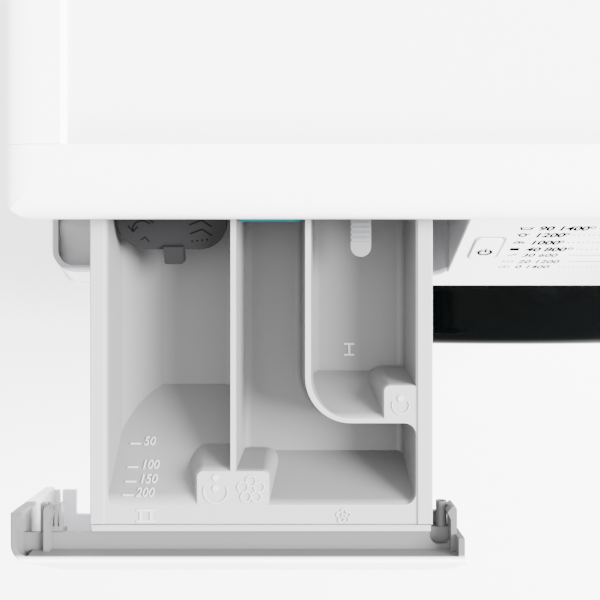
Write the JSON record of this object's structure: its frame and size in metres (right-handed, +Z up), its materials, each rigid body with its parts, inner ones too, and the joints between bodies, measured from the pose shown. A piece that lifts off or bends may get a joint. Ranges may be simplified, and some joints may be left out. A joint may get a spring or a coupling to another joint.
{
  "type": "front load washing machine",
  "caption": "Free-standing front-loading washing machine with its detergent drawer pulled out, round door, sloping control panel, suspended tub and belt drive.",
  "frame": {"origin": "on the floor, under the centre of the box that holds the machine with its drawer pulled out", "axes": "+Z up, the front faces -Y, +X to the right seen from the front"},
  "size_m": [0.6, 0.705, 0.85],
  "materials": {
    "white_paint": "gloss",
    "white_plastic": "satin",
    "worktop_laminate": "satin",
    "tray_plastic": "satin",
    "dark_plastic": "satin",
    "flap_grey": "matt",
    "teal_plastic": "satin",
    "black_gloss": "gloss",
    "grey_frame": "satin",
    "window_black": "gloss",
    "door_glass": "clear",
    "chrome": "polished",
    "stainless": "brushed",
    "zinc_steel": "zinc plated",
    "cast_aluminium": "as cast",
    "counterweight": "rough",
    "tub_plastic": "matt",
    "motor_steel": "satin",
    "rubber_grey": "matt",
    "rubber_black": "matt",
    "board_green": "satin"
  },
  "bodies": {
    "cabinet": {"left_side_panel": "white_paint", "right_side_panel": "white_paint", "back_panel": "zinc_steel", "base_tray": "dark_plastic", "front_panel": "white_paint", "plinth": "white_plastic", "rear_feet": "rubber_black", "worktop_front_trim": "white_plastic", "worktop_frame": "white_plastic", "worktop_board": "worktop_laminate", "control_panel": "white_plastic", "display_window": "window_black", "control_board": "board_green", "dispenser_housing": "tub_plastic", "door_hinge_bracket": "cast_aluminium", "door_lock": "dark_plastic", "inlet_valve": "tub_plastic", "mains_gland": "rubber_black", "drain_hose": "rubber_black", "transit_caps": "dark_plastic", "cabinet_screws": "zinc_steel", "pump_housing": "tub_plastic", "damper_cylinders": "dark_plastic", "suspension_springs": "zinc_steel", "door_gasket": "rubber_grey", "sump_hose": "rubber_black", "dispenser_hose": "rubber_black"},
    "tub": {"tub_front": "tub_plastic", "tub_rear": "tub_plastic", "heating_element": "stainless", "front_counterweight": "counterweight", "drum_bearings": "chrome", "motor_casing": "motor_steel", "drive_belt": "rubber_black", "damper_rods": "zinc_steel"},
    "drum": {"drum_shell": "stainless", "drum_lifters": "tray_plastic", "drum_spider": "cast_aluminium", "drum_pulley": "cast_aluminium"},
    "rotor": {"motor_rotor": "zinc_steel"},
    "door": {"door_ring": "black_gloss", "door_inner_frame": "grey_frame", "door_glass": "door_glass", "door_hinge_arm": "cast_aluminium"},
    "hook": {"door_hook": "zinc_steel"},
    "drawer": {"drawer_tray": "tray_plastic", "drawer_front": "white_plastic", "siphon_cap": "teal_plastic"},
    "flap": {"liquid_flap": "flap_grey"},
    "lever": {"release_lever": "tray_plastic"},
    "knob": {"program_knob": "white_plastic"},
    "power_key": {"power_button": "white_plastic"},
    "start_key": {"start_button": "white_plastic"},
    "option_key_left": {"option_key_1": "white_plastic"},
    "option_key_right": {"option_key_2": "white_plastic"},
    "filter_cover": {"filter_flap": "white_plastic"},
    "lint_filter": {"debris_filter": "dark_plastic"},
    "impeller": {"pump_impeller": "dark_plastic"},
    "foot_left": {"front_foot_left": "rubber_black"},
    "foot_right": {"front_foot_right": "rubber_black"}
  },
  "joints": [
    {"name": "drawer_slide", "type": "slide", "parent": "cabinet", "child": "drawer", "axis": [0, 1, 0], "range_m": [0, 0.1716]},
    {"name": "liquid_flap_pivot", "type": "hinge", "parent": "drawer", "child": "flap", "pos_m": [-0.2234, -0.14, 0.823], "axis": [1, 0, 0], "range_deg": [0, 60]},
    {"name": "release_lever_flex", "type": "hinge", "parent": "drawer", "child": "lever", "pos_m": [-0.12555, -0.09, 0.8201], "axis": [1, 0, 0], "range_deg": [0, 4], "stiffness_Nm_per_rad": 0.6},
    {"name": "door_hinge", "type": "hinge", "parent": "cabinet", "child": "door", "pos_m": [-0.229, -0.205, 0.44], "axis": [0, 0, -1], "range_deg": [0, 135]},
    {"name": "door_hook_pivot", "type": "hinge", "parent": "door", "child": "hook", "pos_m": [0.203, -0.194, 0.44], "axis": [0, 0, 1], "range_deg": [0, 6], "stiffness_Nm_per_rad": 0.8},
    {"name": "program_knob_turn", "type": "hinge", "parent": "cabinet", "child": "knob", "pos_m": [0.062, -0.17158, 0.796], "axis": [0, -0.9367, 0.3502], "continuous": true},
    {"name": "power_button_push", "type": "slide", "parent": "cabinet", "child": "power_key", "axis": [0, 0.9367, -0.3502], "range_m": [0, 0.0015], "stiffness_N_per_m": 600},
    {"name": "start_button_push", "type": "slide", "parent": "cabinet", "child": "start_key", "axis": [0, 0.9367, -0.3502], "range_m": [0, 0.0015], "stiffness_N_per_m": 600},
    {"name": "option_key_1_push", "type": "slide", "parent": "cabinet", "child": "option_key_left", "axis": [0, 0.9367, -0.3502], "range_m": [0, 0.0015], "stiffness_N_per_m": 600},
    {"name": "option_key_2_push", "type": "slide", "parent": "cabinet", "child": "option_key_right", "axis": [0, 0.9367, -0.3502], "range_m": [0, 0.0015], "stiffness_N_per_m": 600},
    {"name": "tub_float", "type": "slide", "parent": "cabinet", "child": "tub", "axis": [0, 0, 1], "range_m": [-0.01, 0.01], "stiffness_N_per_m": 13600, "springref_m": 0.0276, "deforming": ["suspension_springs", "door_gasket", "sump_hose", "dispenser_hose"]},
    {"name": "drum_spin", "type": "hinge", "parent": "tub", "child": "drum", "pos_m": [0, 0.2, 0.44], "axis": [0, 1, 0], "continuous": true},
    {"name": "motor_spin", "type": "hinge", "parent": "tub", "child": "rotor", "pos_m": [-0.095, 0.2, 0.105], "axis": [0, 1, 0], "continuous": true},
    {"name": "filter_flap_hinge", "type": "hinge", "parent": "cabinet", "child": "filter_cover", "pos_m": [0.205, -0.1784, 0.038], "axis": [1, 0, 0], "range_deg": [0, 90]},
    {"name": "debris_filter_turn", "type": "hinge", "parent": "cabinet", "child": "lint_filter", "pos_m": [0.205, -0.15, 0.07], "axis": [0, 1, 0], "range_deg": [0, 90]},
    {"name": "pump_impeller_spin", "type": "hinge", "parent": "cabinet", "child": "impeller", "pos_m": [0.205, -0.055, 0.07], "axis": [0, 1, 0], "continuous": true},
    {"name": "front_foot_left_screw", "type": "hinge", "parent": "cabinet", "child": "foot_left", "pos_m": [-0.262, -0.14, 0.03], "axis": [0, 0, 1], "continuous": true},
    {"name": "front_foot_right_screw", "type": "hinge", "parent": "cabinet", "child": "foot_right", "pos_m": [0.262, -0.14, 0.03], "axis": [0, 0, 1], "continuous": true}
  ],
  "couplings": [
    {"joint": "motor_spin", "follows": "drum_spin", "ratio": 12.727}
  ]
}
